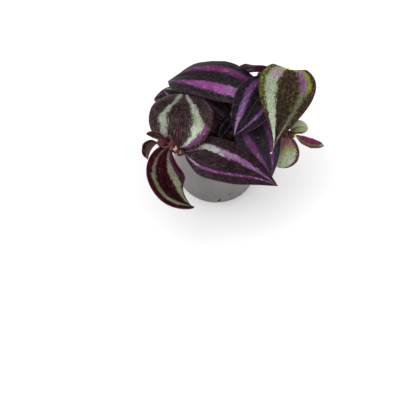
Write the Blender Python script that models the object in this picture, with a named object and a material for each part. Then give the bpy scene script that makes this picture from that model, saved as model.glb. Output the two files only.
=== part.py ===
"""A small potted zebra plant with purple and silver bands.

A round tapered nursery pot stands flat on the ground, filled with potting mix. Eight shoots stand in
holes in the mix. Each leaf is a thin blade grown from a sheath, a short sleeve round its stem. The
front of the plant is -Y, its right is +X and up is +Z. The origin is the middle of the pot's base.
Sizes below are millimetres and degrees, and MM turns them to metres.
"""

import math
from collections import namedtuple

import bmesh
import bpy
from mathutils import Matrix, Vector

MM = 0.001

# The pot: a 6 cm nursery pot, from its base up
BASE_RADIUS = 22.5
BASE_CHAMFER = 0.8
BAND_FOOT_RADIUS = 27.0
BAND_FOOT_HEIGHT = 40.5
BAND_STEP = 1.5
BAND_SLOPE = 0.6
RIM_RADIUS = 30.0
RIM_CHAMFER = 0.4
POT_HEIGHT = 50.0
WALL = 1.0
FLOOR = 1.4
POT_SIDES = 48
DRAIN_RADIUS = 2.5
DRAIN_CIRCLE = 15.0
DRAIN_HOLES = 5
DRAIN_TURN = 0.3

# What touches keeps this gap
GAP = 0.3

# The potting mix
MIX_TOP = 43.0
MIX_SIDES = 32
MIX_LUMP = 0.5
MIX_GAP = 0.4
MIX_RINGS = 5

# Stems and the sheaths round them
STEM_RADIUS = 1.3
STEM_FOOT = 34.0
STEM_STEPS = 3
SHEATH_INNER = STEM_RADIUS + GAP
SHEATH_WALL = 0.8
SHEATH_LENGTH = 2.0
SHEATH_SIDES = 10

# Blades: a side leaf starts inside its sheath's wall, and a shoot's last leaf just past the stem's end
BLADE_ROOT = 0.3
TIP_GAP = 0.8
BLADE_THICKNESS = 0.6
PETIOLE_HALF_WIDTH = 1.2
TIP_HALF_WIDTH = 0.3
BASE_POWER = 0.55
LOBE_OPENS = 0.05
RIPPLES = 2.5

# Each shoot's way up out of the mix, through the points where its leaves grow
STEMS = {
    "stem_front_left": [
        (-7, -9, 46), (-11, -17, 52), (-16, -24, 55), (-19, -27.6, 57.2), (-21.8, -29, 60.4),
        (-24, -29.6, 65.9), (-27.8, -29, 67.2), (-31, -28.2, 65.9),
    ],
    "stem_crown": [(6, 2, 46), (10, -1, 53), (15, -2, 57.5), (20, 1, 59), (26, 4, 62), (30, 5, 64)],
    "stem_tall": [(14, 8, 46), (20.5, 13.5, 57), (27, 12.5, 70), (33, 9.5, 77.5), (36.6, 7.2, 82)],
    "stem_right": [
        (16, -6, 46), (22, -10, 53), (30, -14, 56.5), (35.4, -15.7, 57.3), (38.5, -16.2, 58),
        (40.6, -17, 57.8),
    ],
    "stem_middle": [(6, -9, 44), (8, -9, 49), (9, -7, 52), (9, -4.5, 56), (8, -3, 59)],
    "stem_back_left": [
        (-8, 10, 46), (-9, 14, 51), (-10, 20.8, 53.3), (-11, 26.5, 53.8), (-11.5, 31.5, 51),
        (-12, 34, 46),
    ],
    "stem_back_right": [(8, 14, 46), (12, 18, 51), (18, 21, 53.5), (26, 22, 53), (30.5, 23, 48)],
    "stem_left": [(-15, 2, 46), (-16, 2, 51), (-16, 3, 54)],
}

# A leaf grows at a point of its stem. Heading is its compass direction, 0 along +X and 90 along +Y, and
# pitch is its slope, each at the base and at the tip. Roll turns the blade about its own length. Fold
# raises both halves from the midrib, and curl bends them on towards the margins. Lobe sweeps the margin
# back at the base, as a share of the length. Widest says how far along the blade is broadest.
Leaf = namedtuple("Leaf", "stem point length width heading pitch roll fold curl lobe wave widest")
LEAVES = {
    "leaf_crown": Leaf("stem_crown", 4, 63, 29, (169, 150), (35, -54), (0, -4), 8, -28, 0.04, 0.4, 0.48),
    "leaf_dome": Leaf("stem_front_left", 4, 46, 36, (89, 80), (68, -74), (16, -4), 8, -42, 0.08, 0.4, 0.4),
    "leaf_pointed": Leaf(
        "stem_tall", 2, 37.5, 24, (-107, -137), (10, -44), (4, 6), 22, -26, 0.04, 0.4, 0.39
    ),
    "leaf_heart": Leaf("stem_tall", 4, 44, 30, (-98, -111), (-4, -62), (8, -4), 17, -28, 0.1, 0.6, 0.26),
    "leaf_front": Leaf(
        "stem_front_left", 3, 53, 25, (-10, -20), (7, -34), (-12, -12), 12, -42, 0.03, 0.5, 0.35
    ),
    "leaf_hanging": Leaf(
        "stem_front_left", 5, 42, 21.5, (-140, 28), (-50, -46), (2, 20), 25, -10, 0.02, 0.5, 0.5
    ),
    "leaf_young_left": Leaf(
        "stem_front_left", 6, 10, 6, (164, 160), (24, -8), (20, 20), 50, 10, 0, 0.2, 0.42
    ),
    "leaf_tip_left": Leaf(
        "stem_front_left", 7, 11, 10, (-160, -120), (-30, -75), (-10, -10), 50, 10, 0, 0.2, 0.42
    ),
    "leaf_under_crown": Leaf(
        "stem_middle", 2, 48, 22, (159, 130), (28, -28), (10, 10), 12, -30, 0.04, 0.4, 0.42
    ),
    "leaf_rim_left": Leaf(
        "stem_back_left", 1, 26, 17, (178, 172), (24, -38), (0, 0), 12, -30, 0.04, 0.4, 0.42
    ),
    "leaf_on_edge": Leaf(
        "stem_tall", 3, 32, 12, (144, 140), (-22, -52), (-42, -60), 10, -20, 0.02, 0.4, 0.5
    ),
    "leaf_below_pointed": Leaf(
        "stem_crown", 2, 37.5, 25, (-62, -75), (4, -38), (-20, -20), 25, -20, 0.04, 0.4, 0.34
    ),
    "leaf_short_right": Leaf(
        "stem_right", 3, 18, 19, (-98, -108), (-25, -85), (0, 0), 10, -30, 0.1, 0.5, 0.5
    ),
    "leaf_round_right": Leaf(
        "stem_right", 4, 10, 9, (20, -10), (48, -40), (0, 0), 10, -30, 0.05, 0.2, 0.5
    ),
    "leaf_boat_right": Leaf("stem_right", 5, 18, 9, (-30, -8), (-60, 42), (0, 0), 52, -10, 0, 0.2, 0.55),
    "leaf_inner": Leaf("stem_middle", 3, 13, 9, (-135, -112), (8, -45), (0, 0), 20, -30, 0.04, 0.3, 0.42),
    "leaf_back_inner": Leaf(
        "stem_back_left", 2, 25, 18, (25, 35), (14, -36), (0, 0), 12, -30, 0.02, 0.4, 0.42
    ),
    "leaf_back_left": Leaf(
        "stem_back_left", 3, 22, 15, (154, 132), (-4, -84), (0, 0), 15, -30, 0.02, 0.4, 0.42
    ),
    "leaf_tip_back_left": Leaf(
        "stem_back_left", 5, 18, 9, (100, 95), (-55, -80), (0, 0), 45, -10, 0, 0.2, 0.42
    ),
    "leaf_under_heart": Leaf("stem_crown", 5, 20, 11, (5, -25), (10, -55), (0, 0), 12, -30, 0.04, 0.3, 0.42),
    "leaf_behind_heart": Leaf(
        "stem_back_right", 2, 30, 12, (10, -12), (22, -50), (0, 0), 12, -30, 0.02, 0.4, 0.42
    ),
    "leaf_back_right": Leaf(
        "stem_back_right", 3, 23, 14, (64, 24), (-10, -84), (0, 0), 15, -30, 0.04, 0.4, 0.42
    ),
    "leaf_tip_back_right": Leaf(
        "stem_back_right", 4, 17, 9, (-15, -25), (-40, -75), (0, 0), 45, -10, 0, 0.2, 0.42
    ),
    "leaf_below_dome": Leaf(
        "stem_left", 1, 24, 16, (212, 200), (28, -58), (0, 0), 12, -30, 0.04, 0.4, 0.42
    ),
    "leaf_below_heart": Leaf("stem_right", 1, 19, 15, (5, -10), (5, -45), (0, 0), 12, -30, 0.04, 0.4, 0.42),
}

# Name: base colour, roughness
FINISHES = {
    "grey_plastic": ((0.15, 0.15, 0.15, 1), 0.5),
    "potting_mix": ((0.035, 0.022, 0.014, 1), 0.95),
    "stem": ((0.33, 0.28, 0.16, 1), 0.5),
    "purple_leaf": ((0.09, 0.03, 0.08, 1), 0.35),
    "silver_leaf": ((0.16, 0.18, 0.13, 1), 0.35),
}
SILVER_LEAVES = (
    "leaf_dome", "leaf_heart", "leaf_hanging", "leaf_short_right", "leaf_round_right", "leaf_boat_right",
)


def clear_scene():
    for thing in list(bpy.data.objects):
        bpy.data.objects.remove(thing)


def finish(name):
    """The named material, made the first time it is asked for."""
    material = bpy.data.materials.get(name) or bpy.data.materials.new(name)
    colour, roughness = FINISHES[name]
    material.use_nodes = True
    shader = material.node_tree.nodes["Principled BSDF"]
    shader.inputs["Base Color"].default_value = colour
    shader.inputs["Roughness"].default_value = roughness
    return material


def add_object(name, shape, material):
    """An object in the scene from a bmesh or a mesh."""
    if isinstance(shape, bmesh.types.BMesh):
        mesh = bpy.data.meshes.new(name)
        shape.to_mesh(mesh)
        shape.free()
    else:
        mesh = shape
    thing = bpy.data.objects.new(name, mesh)
    mesh.materials.append(material)
    bpy.context.scene.collection.objects.link(thing)
    return thing


def applied(thing):
    """The same object with its modifiers worked into its mesh."""
    bpy.context.view_layer.update()
    seen = thing.evaluated_get(bpy.context.evaluated_depsgraph_get())
    mesh = bpy.data.meshes.new_from_object(seen)
    thing.modifiers.clear()
    thing.data = mesh
    return thing


def combine(thing, others, operation, solver="EXACT"):
    """Joins or cuts the object with the others, which are then removed."""
    for other in others:
        modifier = thing.modifiers.new("combine", "BOOLEAN")
        modifier.operation = operation
        modifier.solver = solver
        modifier.object = other
    applied(thing)
    for other in others:
        bpy.data.objects.remove(other)
    return thing


def shade(thing, sharp_angle=40):
    thing.data.shade_smooth()
    thing.data.set_sharp_from_angle(angle=math.radians(sharp_angle))


def turned(profile, sides):
    """A closed outline of (radius, height) points in millimetres, spun round the Z axis."""
    shape = bmesh.new()
    ring = [shape.verts.new((radius * MM, 0, height * MM)) for radius, height in profile]
    edges = [shape.edges.new(pair) for pair in zip(ring, ring[1:])]
    bmesh.ops.spin(
        shape, geom=ring + edges, cent=(0, 0, 0), axis=(0, 0, 1), angle=math.tau, steps=sides, use_merge=True
    )
    bmesh.ops.remove_doubles(shape, verts=shape.verts, dist=0.01 * MM)
    bmesh.ops.recalc_face_normals(shape, faces=shape.faces)
    return shape


def cylinder(radius, low, high, centre, sides=16):
    """An upright cutter at a place in the plan."""
    shape = bmesh.new()
    radius, depth = radius * MM, (high - low) * MM
    bmesh.ops.create_cone(shape, cap_ends=True, segments=sides, radius1=radius, radius2=radius, depth=depth)
    place = Vector((centre[0], centre[1], (low + high) / 2)) * MM
    bmesh.ops.translate(shape, verts=shape.verts, vec=place)
    return add_object("cutter", shape, finish("grey_plastic"))


def make_pot():
    """Tapered wall, flat floor with drain holes, and a stepped band under the rim."""
    band_foot = BAND_FOOT_RADIUS + BAND_STEP
    outline = [
        (0, 0), (BASE_RADIUS - BASE_CHAMFER, 0), (BASE_RADIUS, BASE_CHAMFER),
        (BAND_FOOT_RADIUS, BAND_FOOT_HEIGHT), (band_foot, BAND_FOOT_HEIGHT + BAND_SLOPE),
        (RIM_RADIUS, POT_HEIGHT - RIM_CHAMFER), (RIM_RADIUS - RIM_CHAMFER, POT_HEIGHT),
        (RIM_RADIUS - WALL, POT_HEIGHT), (band_foot - WALL, BAND_FOOT_HEIGHT + BAND_SLOPE + WALL),
        (BAND_FOOT_RADIUS - WALL, BAND_FOOT_HEIGHT + WALL), (BASE_RADIUS - WALL, FLOOR), (0, FLOOR),
    ]
    pot = add_object("pot", turned(outline, POT_SIDES), finish("grey_plastic"))
    drains = []
    for number in range(DRAIN_HOLES):
        angle = math.tau * number / DRAIN_HOLES + DRAIN_TURN
        centre = (DRAIN_CIRCLE * math.cos(angle), DRAIN_CIRCLE * math.sin(angle))
        drains.append(cylinder(DRAIN_RADIUS, -1, FLOOR + 1, centre))
    shade(combine(pot, drains, "DIFFERENCE"))
    return pot


def mix_height(x, y):
    """The mix's uneven top, at a place in the plan."""
    lumps = math.sin(0.45 * x + 1) * math.cos(0.38 * y) + 0.6 * math.sin(0.9 * x - 0.7 * y)
    return MIX_TOP + MIX_LUMP * lumps


def make_mix():
    """The pot's filling, with an uneven top and a plain hole for each stem."""
    low, foot = FLOOR + MIX_GAP, BASE_RADIUS - WALL - MIX_GAP
    shoulder = BAND_FOOT_RADIUS - WALL - MIX_GAP
    outline = [(0, low), (foot, low), (shoulder, BAND_FOOT_HEIGHT), (shoulder, MIX_TOP)]
    outline += [(shoulder * (1 - ring / MIX_RINGS), MIX_TOP) for ring in range(1, MIX_RINGS + 1)]
    shape = turned(outline, MIX_SIDES)
    for vert in shape.verts:
        radius = math.hypot(vert.co.x, vert.co.y) / MM
        if vert.co.z > (MIX_TOP - 0.1) * MM and radius < shoulder - 0.5:
            vert.co.z = mix_height(vert.co.x / MM, vert.co.y / MM) * MM
    mix = add_object("potting_mix", shape, finish("potting_mix"))
    holes = [
        cylinder(STEM_RADIUS + GAP, STEM_FOOT - GAP, POT_HEIGHT, points[0], sides=12)
        for points in STEMS.values()
    ]
    shade(combine(mix, holes, "DIFFERENCE"), 30)
    return mix


def smooth_way(points):
    """Closely spaced points: straight from the first to the second, then a curve through all the rest."""
    knots = [Vector(point) for point in points]
    knots.append(2 * knots[-1] - knots[-2])
    way = [knots[0]]
    for before, here, after, beyond in zip(knots, knots[1:], knots[2:], knots[3:]):
        for step in range(STEM_STEPS):
            u = step / STEM_STEPS
            bend = 2 * before - 5 * here + 4 * after - beyond
            turn = 3 * here - before - 3 * after + beyond
            way.append((2 * here + (after - before) * u + bend * u * u + turn * u**3) / 2)
    return way + [knots[-2]]


def make_stem(name):
    """A round stem, upright from its foot in the mix until it is clear of the hole, then bent."""
    x, y, _ = STEMS[name][0]
    way = smooth_way([(x, y, STEM_FOOT)] + STEMS[name])
    curve = bpy.data.curves.new(name, "CURVE")
    curve.dimensions = "3D"
    curve.bevel_depth = STEM_RADIUS * MM
    curve.bevel_resolution = 2
    curve.use_fill_caps = True
    spline = curve.splines.new("POLY")
    spline.points.add(len(way) - 1)
    for point, place in zip(spline.points, way):
        point.co = (*(place * MM), 1)
    stem = bpy.data.objects.new(name, curve)
    curve.materials.append(finish("stem"))
    bpy.context.scene.collection.objects.link(stem)
    return stem


def stem_direction(leaf):
    """Which way the stem runs where the leaf grows."""
    points = STEMS[leaf.stem]
    after = Vector(points[min(leaf.point + 1, len(points) - 1)])
    return (after - Vector(points[leaf.point - 1])).normalized()


def blade_frame(leaf, t):
    """Along, across and up from the blade's upper face, at a share t of its length."""
    heading, pitch, roll = (
        math.radians(first + (last - first) * t) for first, last in (leaf.heading, leaf.pitch, leaf.roll)
    )
    level = math.cos(pitch)
    along = Vector((level * math.cos(heading), level * math.sin(heading), math.sin(pitch)))
    flat = Vector((math.sin(heading), -math.cos(heading), 0))
    normal = flat.cross(along)
    across = flat * math.cos(roll) + normal * math.sin(roll)
    return along, across, across.cross(along)


def half_width(leaf, t):
    """Half the blade's width: an egg shape that is drawn out to the tip."""
    tip_power = BASE_POWER * (1 - leaf.widest) / leaf.widest
    most = leaf.widest**BASE_POWER * (1 - leaf.widest) ** tip_power
    share = t**BASE_POWER * (1 - t) ** tip_power / most
    return max(leaf.width / 2 * share, PETIOLE_HALF_WIDTH * (1 - t), TIP_HALF_WIDTH)


def blade_start(leaf):
    """Where the midrib leaves the stem: in the sheath's wall, or just past the end of the stem."""
    points = STEMS[leaf.stem]
    node, axis = Vector(points[leaf.point]), stem_direction(leaf)
    if leaf.point == len(points) - 1:
        return node + axis * TIP_GAP
    along = blade_frame(leaf, 0)[0]
    outward = (along - axis * along.dot(axis)).normalized()
    return node + outward * (SHEATH_INNER + BLADE_ROOT)


def midrib(leaf, rows):
    """The midrib's points, one more than there are rows."""
    place, way = blade_start(leaf), []
    for row in range(rows):
        way.append(place)
        place = place + blade_frame(leaf, (row + 0.5) / rows)[0] * (leaf.length / rows)
    return way + [place]


def blade_point(leaf, middle, t, s):
    """A point of the blade at a share t of its length and s of its half-width, from -1 to 1."""
    along, across, normal = blade_frame(leaf, t)
    fold, curl, u = math.radians(leaf.fold), math.radians(leaf.curl), abs(s)
    reach = half_width(leaf, t) / curl
    sideways = math.copysign((math.sin(fold + curl * u) - math.sin(fold)) * reach, s)
    rise = (math.cos(fold) - math.cos(fold + curl * u)) * reach
    back = leaf.lobe * leaf.length * u**2 * (1 - t) ** 3 * min(1, t / LOBE_OPENS)
    phase = math.tau * (RIPPLES * t + math.copysign(0.25, s))
    ripple = leaf.wave * math.sin(phase) * u**3 * math.sin(math.pi * t)
    return middle + across * sideways + normal * (rise + ripple) - along * back


def make_sheath(leaf):
    """The short sleeve round the stem that the blade grows from."""
    shape = bmesh.new()
    outer = bmesh.ops.create_circle(shape, segments=SHEATH_SIDES, radius=(SHEATH_INNER + SHEATH_WALL) * MM)
    inner = bmesh.ops.create_circle(shape, segments=SHEATH_SIDES, radius=SHEATH_INNER * MM)
    loops = {edge for vert in outer["verts"] + inner["verts"] for edge in vert.link_edges}
    bmesh.ops.bridge_loops(shape, edges=list(loops))
    raised = bmesh.ops.extrude_face_region(shape, geom=shape.faces[:])
    tops = [item for item in raised["geom"] if isinstance(item, bmesh.types.BMVert)]
    bmesh.ops.translate(shape, verts=tops, vec=(0, 0, SHEATH_LENGTH * MM))
    bmesh.ops.translate(shape, verts=shape.verts, vec=(0, 0, -SHEATH_LENGTH / 2 * MM))
    turn = stem_direction(leaf).to_track_quat("Z", "Y").to_matrix().to_4x4()
    node = Vector(STEMS[leaf.stem][leaf.point]) * MM
    bmesh.ops.transform(shape, matrix=Matrix.Translation(node) @ turn, verts=shape.verts)
    bmesh.ops.recalc_face_normals(shape, faces=shape.faces)
    return add_object("sheath", shape, finish("stem"))


def make_leaf(name):
    """One blade, split alike on both faces, with the sheath at its base."""
    leaf = LEAVES[name]
    rows, columns = (8, 6) if leaf.width > 12 else (6, 4)
    shape = bmesh.new()
    bmesh.ops.create_grid(shape, x_segments=rows, y_segments=columns, size=0.5)
    bmesh.ops.triangulate(shape, faces=shape.faces, quad_method="FIXED")
    middle = midrib(leaf, rows)
    for vert in shape.verts:
        t, s = vert.co.x + 0.5, 2 * vert.co.y
        vert.co = blade_point(leaf, middle[round(t * rows)], max(0, t), s) * MM
    colour = "silver_leaf" if name in SILVER_LEAVES else "purple_leaf"
    blade = add_object(name, shape, finish(colour))
    solidify = blade.modifiers.new("thickness", "SOLIDIFY")
    solidify.thickness = BLADE_THICKNESS * MM
    solidify.offset = 0
    applied(blade)
    if leaf.point < len(STEMS[leaf.stem]) - 1:
        combine(blade, [make_sheath(leaf)], "UNION", solver="MANIFOLD")
    shade(blade, 50)
    return blade


clear_scene()
make_pot()
make_mix()
for stem_name in STEMS:
    make_stem(stem_name)
for leaf_name in LEAVES:
    make_leaf(leaf_name)
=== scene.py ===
# %% [markdown]
# # A small potted zebra plant
#
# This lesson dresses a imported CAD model: a round nursery pot, potting mix, eight shoots and their leaves.
# The CAD solids keep the plant's sizes and its collision. Each cell below makes one finer piece or one
# finish in the same frame, which is in metres with +Z up, so that a piece goes where the CAD says.
# The tables are in millimetres and degrees, as a grower would measure them, and MM turns them to metres.

import math
import random
from collections import namedtuple

import bmesh
import bpy
from mathutils import Matrix, Vector, noise


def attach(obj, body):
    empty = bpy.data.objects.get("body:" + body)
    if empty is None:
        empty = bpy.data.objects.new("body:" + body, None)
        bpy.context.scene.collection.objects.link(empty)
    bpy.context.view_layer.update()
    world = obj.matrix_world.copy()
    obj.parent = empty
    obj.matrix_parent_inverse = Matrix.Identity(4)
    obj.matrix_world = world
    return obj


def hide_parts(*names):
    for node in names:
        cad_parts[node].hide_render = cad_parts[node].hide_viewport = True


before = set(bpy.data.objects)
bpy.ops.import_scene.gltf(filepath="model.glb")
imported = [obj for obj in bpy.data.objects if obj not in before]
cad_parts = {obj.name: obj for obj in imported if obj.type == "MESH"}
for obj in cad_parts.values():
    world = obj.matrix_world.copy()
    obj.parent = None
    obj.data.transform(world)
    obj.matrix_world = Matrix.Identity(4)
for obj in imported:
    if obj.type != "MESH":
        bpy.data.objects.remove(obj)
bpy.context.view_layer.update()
MM = 0.001

# %% [markdown]
# ## The camera
#
# The plant is looked down on at about 57 degrees, from close by, so near leaves look larger than far ones.
# A 75 mm lens on a 36 mm wide sensor gives that. The place was worked out from the pot's round base: where
# its centre and its front edge come in the picture. The camera is made first.

# %% Camera
CAMERA_PLACE = (-9.6, -286.7, 410.0)
CAMERA_BELOW_LEVEL = 57
lens = bpy.data.cameras.new("camera")
lens.lens = 75
lens.sensor_width = 36
lens.clip_start = 0.01
camera = bpy.data.objects.new("camera", lens)
camera.location = Vector(CAMERA_PLACE) * MM
camera.rotation_euler = (math.radians(90 - CAMERA_BELOW_LEVEL), 0, 0)
bpy.context.scene.collection.objects.link(camera)
bpy.context.scene.camera = camera
print("camera at", tuple(round(value, 3) for value in camera.location), "m")

# %% [markdown]
# ## Helpers for every finish
#
# Colours are written as sRGB hex values, the way a colour picker shows them. Shaders need them linear, and
# `linear` is the one place where that happens. `add` puts a node in a material with its settings and links,
# and gives the output that the next node needs. `connect` links what they end in to the shader.

# %% Helpers for colours and nodes
# A relief of 0.1 mm, in metres as a Bump node takes it
FINE_RELIEF = 0.0001


def linear(colour):
    """A hex sRGB colour, such as "#8b5488", as the linear RGBA that a shader takes."""
    parts = [int(colour[at : at + 2], 16) / 255 for at in (1, 3, 5)]
    return [part / 12.92 if part <= 0.04045 else ((part + 0.055) / 1.055) ** 2.4 for part in parts] + [1]


def add(tree, kind, inputs=None, stops=None, out=0, **settings):
    """Adds one node, and gives its first output, the one that "out" names, or for None the node itself."""
    node = tree.nodes.new("ShaderNode" + kind)
    for name, value in settings.items():
        setattr(node, name, value)
    if stops:
        elements = node.color_ramp.elements
        while len(elements) < len(stops):
            elements.new(0.5)
        for element, (place, colour) in zip(elements, stops):
            element.position = place
            element.color = linear(colour) if isinstance(colour, str) else colour
    for name, value in (inputs or {}).items():
        if isinstance(value, bpy.types.NodeSocket):
            tree.links.new(value, node.inputs[name])
        else:
            node.inputs[name].default_value = value
    return node if out is None else node.outputs[out]


def new_finish(name, **sockets):
    """An empty finish: its node tree, its shader with constant sockets set, and the material.

    A socket is named with _ for each space.
    """
    material = bpy.data.materials.new(name)
    material.use_nodes = True
    shader = material.node_tree.nodes["Principled BSDF"]
    for socket, value in sockets.items():
        shader.inputs[socket.replace("_", " ")].default_value = value
    return material.node_tree, shader, material


def connect(tree, shader, **links):
    """Links the shader's sockets, named in the same way."""
    for socket, value in links.items():
        tree.links.new(value, shader.inputs[socket.replace("_", " ")])


def in_millimetres(tree):
    """Where a point of the piece lies, in millimetres."""
    place = add(tree, "TexCoord", out="Object")
    return add(tree, "VectorMath", {0: place, 1: (1 / MM, 1 / MM, 1 / MM)}, operation="MULTIPLY")


print("a mid grey is", [round(part, 3) for part in linear("#808080")])

# %% [markdown]
# ## Floor and light
#
# A product shot on white paper: a pale matte floor, a large soft light up on the left, a weaker one on the
# right, and a white room that fills the shadows. Large lights close to a small plant give soft shadows.
# The Standard view transform keeps colours as they were picked.

# %% Floor
FLOOR_SIZE = 1.5
bpy.context.scene.view_settings.view_transform = "Standard"
sheet = bmesh.new()
bmesh.ops.create_grid(sheet, x_segments=1, y_segments=1, size=FLOOR_SIZE)
paper = bpy.data.meshes.new("paper_floor")
sheet.to_mesh(paper)
sheet.free()
floor = bpy.data.objects.new("paper_floor", paper)
bpy.context.scene.collection.objects.link(floor)
paper_white = linear("#fcfcfc")
tree, shader, matte_paper = new_finish(
    "matte_paper", Base_Color=paper_white, Roughness=0.9, Specular_IOR_Level=0.2
)
paper.materials.append(matte_paper)
print("floor of", floor.dimensions.x, "m")

# %% Lights
ROOM_LIGHT = 1.1
world = bpy.data.worlds.new("white_room")
world.use_nodes = True
background = world.node_tree.nodes["Background"]
background.inputs["Color"].default_value = linear("#ffffff")
background.inputs["Strength"].default_value = ROOM_LIGHT
bpy.context.scene.world = world

# The lights point at the plant's middle. Name: place in metres, size in metres, watts
AIM = Vector((0, 0, 0.05))
LIGHTS = {
    "soft_key": ((-0.55, -0.25, 1.0), 0.9, 2.8),
    "soft_fill": ((0.7, -0.5, 0.8), 0.6, 0.8),
}
for light_name, (place, size, watts) in LIGHTS.items():
    lamp = bpy.data.lights.new(light_name, "AREA")
    lamp.size = size
    lamp.energy = watts
    holder = bpy.data.objects.new(light_name, lamp)
    holder.location = place
    holder.rotation_euler = (AIM - Vector(place)).to_track_quat("-Z", "Y").to_euler()
    bpy.context.scene.collection.objects.link(holder)
print("lights:", ", ".join(LIGHTS))

# %% [markdown]
# ## Putting a piece in the scene
#
# Every piece below is a mesh at the origin with its place in its points. `piece` makes the object, says that
# it rides on the plant's one body, gives it its materials and hides the CAD node that it stands for.

# %% Helper for pieces
def piece(name, shape, finishes, replaced=None, smooth=True):
    """A piece of the plant from a bmesh, riding on the plant's one body."""
    mesh = bpy.data.meshes.new(name)
    shape.to_mesh(mesh)
    shape.free()
    if smooth:
        mesh.shade_smooth()
    for material in finishes:
        mesh.materials.append(material)
    thing = bpy.data.objects.new(name, mesh)
    bpy.context.scene.collection.objects.link(thing)
    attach(thing, "root")
    if replaced:
        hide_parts(replaced)
    return thing


print("pieces are built in metres, 1 mm is", MM)

# %% [markdown]
# ## The nursery pot
#
# A nursery pot is injection moulded from grey polypropylene: one thin wall that tapers, so that the pot
# leaves its mould, a stepped band under the rim to stiffen it and drain holes in the floor. A half outline
# spun round the upright axis gives all of it at once. The drain holes are cut by round cutters.

# %% Grey polypropylene
# In millimetres: clouds of tone, the mould's fine grain, and patches of dust
CLOUD, GRAIN, DUST = 14, 0.35, 1.6
tree, shader, moulded_polypropylene = new_finish("moulded_polypropylene", IOR=1.49)
place = in_millimetres(tree)
cloud = add(tree, "TexNoise", {"Vector": place, "Scale": 1 / CLOUD, "Detail": 3})
grain = add(tree, "TexNoise", {"Vector": place, "Scale": 1 / GRAIN, "Detail": 2})
dust = add(tree, "TexNoise", {"Vector": place, "Scale": 1 / DUST, "Detail": 4, "Roughness": 0.7})
grey = add(tree, "ValToRGB", {"Fac": cloud}, stops=[(0.3, "#5d5b59"), (0.7, "#6f6d6b")])
dusty = add(tree, "MapRange", {"Value": dust, "From Min": 0.64, "From Max": 0.74, "To Max": 0.6})
colour = add(tree, "Mix", {0: dusty, 6: grey, 7: linear("#5b5148")}, out=2, data_type="RGBA")
satin = add(tree, "MapRange", {"Value": cloud, "To Min": 0.42, "To Max": 0.56})
bump = add(tree, "Bump", {"Height": grain, "Strength": 0.12, "Distance": 0.5 * FINE_RELIEF})
connect(tree, shader, Base_Color=colour, Roughness=satin, Normal=bump)
print("finish:", moulded_polypropylene.name)


# %% A shape that is turned
def turned(outline, sides):
    """A half outline of radii and heights, in millimetres, spun round the upright axis."""
    shape = bmesh.new()
    ring = [shape.verts.new((radius * MM, 0, height * MM)) for radius, height in outline]
    edges = [shape.edges.new(pair) for pair in zip(ring, ring[1:])]
    bmesh.ops.spin(
        shape, geom=ring + edges, cent=(0, 0, 0), axis=(0, 0, 1), angle=math.tau, steps=sides,
        use_merge=True,
    )
    bmesh.ops.remove_doubles(shape, verts=shape.verts, dist=0.01 * MM)
    bmesh.ops.recalc_face_normals(shape, faces=shape.faces)
    return shape


# From the middle of the underside out, up the tapered wall, over the rim and down inside to the floor
POT_OUTLINE = [
    (0, 0.9), (17.8, 0.9), (18.6, 0.5), (19.2, 0), (21.7, 0), (22.3, 0.3), (22.6, 0.9),
    (27.0, 40.5), (27.5, 41.0), (28.45, 41.2), (28.65, 41.6), (29.9, 49.2), (29.9, 49.75), (29.6, 50),
    (29.2, 50), (28.95, 49.8), (27.6, 42.4), (26.2, 41.5), (26.0, 41.0), (21.6, 2.0), (21.0, 1.4), (0, 1.4),
]
pot_shape = turned(POT_OUTLINE, 144)
pot = piece("nursery_pot", pot_shape, [moulded_polypropylene], "pot")
print("turned faces:", len(pot.data.polygons))

# %% Drain holes
DRAIN_HOLES = 5
# Millimetres: the holes' radius, the radius of the circle that they lie on, and how long the cutters are
DRAIN_RADIUS, DRAIN_CIRCLE, DRAIN_DEPTH = 2.5, 15, 8
# How far round the first one is, in radians
DRAIN_TURN = 0.3
drill = bmesh.new()
for number in range(DRAIN_HOLES):
    turn = math.tau * number / DRAIN_HOLES + DRAIN_TURN
    made = bmesh.ops.create_cone(
        drill, cap_ends=True, segments=40, radius1=DRAIN_RADIUS * MM, radius2=DRAIN_RADIUS * MM,
        depth=DRAIN_DEPTH * MM,
    )
    centre = Vector((DRAIN_CIRCLE * math.cos(turn), DRAIN_CIRCLE * math.sin(turn), 1)) * MM
    bmesh.ops.translate(drill, verts=made["verts"], vec=centre)
drill_mesh = bpy.data.meshes.new("drill")
drill.to_mesh(drill_mesh)
drill.free()
drill_object = bpy.data.objects.new("drill", drill_mesh)
bpy.context.scene.collection.objects.link(drill_object)
cut = pot.modifiers.new("drain holes", "BOOLEAN")
cut.solver = "EXACT"
cut.object = drill_object
seen = pot.evaluated_get(bpy.context.evaluated_depsgraph_get())
drilled = bpy.data.meshes.new_from_object(seen)
pot.modifiers.clear()
pot.data = drilled
pot.data.set_sharp_from_angle(angle=math.radians(40))
bpy.data.objects.remove(drill_object)
print("pot faces:", len(pot.data.polygons))

# %% [markdown]
# ## Soil on the pot
#
# Watering and handling leave a few crumbs of soil and pale grit on the pot. They are icospheres pressed
# flat on the wall. Each row of the lists places one of them, and none is left to chance.

# %% Specks of soil and grit
# The wall's radius at its foot, and how much wider it gets for each millimetre of height
WALL_FOOT, WALL_TAPER = 22.5, 4.5 / 40.5
# Angle in degrees, height and size in millimetres
SOIL_SPECKS = [
    (-71.7, 9.2, 0.5), (-70.9, 8.5, 0.35), (-86.6, 3.1, 0.75), (-85.0, 4.2, 0.55), (-84.2, 5.0, 0.35),
    (-40.3, 3.1, 0.45), (-52.0, 1.6, 0.5), (-66.0, 1.4, 0.4), (-58.0, 6.0, 0.25), (-46.0, 5.5, 0.3),
    (-97.0, 12.0, 0.3), (-110.0, 6.0, 0.35), (20.0, 9.0, 0.4), (75.0, 14.0, 0.35), (150.0, 7.0, 0.5),
]
PALE_SPECKS = [
    (-80.5, 17.0, 0.22), (-98.0, 9.0, 0.2), (-62.0, 12.0, 0.2), (-75.0, 4.0, 0.16), (-101.0, 16.0, 0.18),
]


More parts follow.
